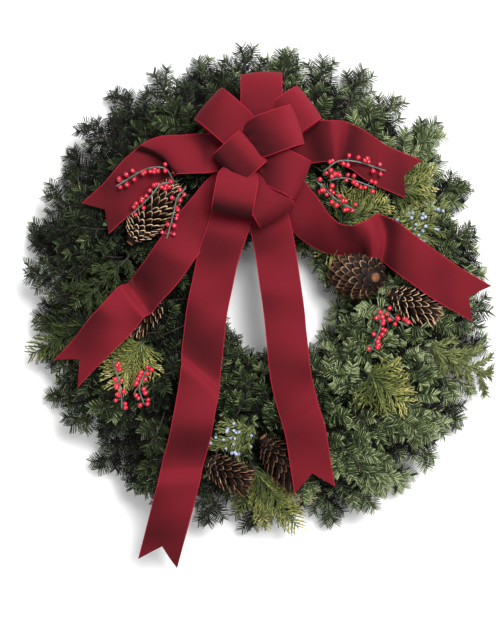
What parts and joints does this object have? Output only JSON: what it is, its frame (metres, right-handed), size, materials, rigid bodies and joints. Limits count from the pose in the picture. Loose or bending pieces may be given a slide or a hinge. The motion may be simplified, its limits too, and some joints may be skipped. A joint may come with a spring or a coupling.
{
  "type": "fresh evergreen wreath",
  "caption": "Round wreath of mixed evergreen boughs clamped on a wire ring, with a red velvet bow and long tails, pine cones, berry picks, cedar and juniper.",
  "frame": {"origin": "under the middle of the wreath's bounding box, on the surface that it lies on", "axes": "+Z out of the wreath's face, +Y towards its top, where the bow is, +X to the right as seen from the front"},
  "size_m": [0.5996, 0.667, 0.1727],
  "materials": {
    "ring_wire": "dark green enamel, satin",
    "florist_wire": "dark green enamel, satin",
    "fir": "fresh dark green needles, faint wax bloom",
    "cedar": "yellow-green scale leaves, satin",
    "juniper": "grey-green needles with waxy blue-white berries",
    "pine_cone": "dry dark brown scales with tan tips, matte",
    "berries": "glossy crimson skin on a grey-green stem",
    "velvet": "short-pile velvet ribbon with wired edges"
  },
  "bodies": {
    "root": {"clamp_ring": "ring_wire", "bow_loops": "velvet", "tail_upper_left": "velvet", "tail_lower_left": "velvet", "tail_long_left": "velvet", "tail_long_right": "velvet", "tail_right": "velvet", "tail_upper_right": "velvet", "bow_wire": "florist_wire", "cone_wire_01": "florist_wire", "pine_cone_01": "pine_cone", "cone_wire_02": "florist_wire", "pine_cone_02": "pine_cone", "cone_wire_03": "florist_wire", "pine_cone_03": "pine_cone", "cone_wire_04": "florist_wire", "pine_cone_04": "pine_cone", "cone_wire_05": "florist_wire", "pine_cone_05": "pine_cone", "cone_wire_06": "florist_wire", "pine_cone_06": "pine_cone", "berry_pick_01": "berries", "berry_pick_02": "berries", "berry_pick_03": "berries", "berry_pick_04": "berries", "berry_pick_05": "berries", "berry_pick_06": "berries", "berry_pick_07": "berries", "berry_pick_08": "berries", "berry_pick_09": "berries", "berry_pick_10": "berries", "cedar_upper_right": "cedar", "cedar_right": "cedar", "cedar_hole": "cedar", "cedar_lower_right": "cedar", "cedar_lower_left": "cedar", "cedar_left": "cedar", "cedar_bottom": "cedar", "juniper_right": "juniper", "juniper_bottom": "juniper", "juniper_left": "juniper", "juniper_lower_right": "juniper", "fir_bundle_01": "fir", "fir_bundle_02": "fir", "fir_bundle_03": "fir", "fir_bundle_04": "fir", "fir_bundle_05": "fir", "fir_bundle_06": "fir", "fir_bundle_07": "fir", "fir_bundle_08": "fir", "fir_bundle_09": "fir", "fir_bundle_10": "fir", "fir_bundle_11": "fir", "fir_bundle_12": "fir", "fir_bundle_13": "fir", "fir_bundle_14": "fir", "fir_bundle_15": "fir", "fir_bundle_16": "fir", "fir_bundle_17": "fir", "fir_bundle_18": "fir"}
  },
  "joints": []
}
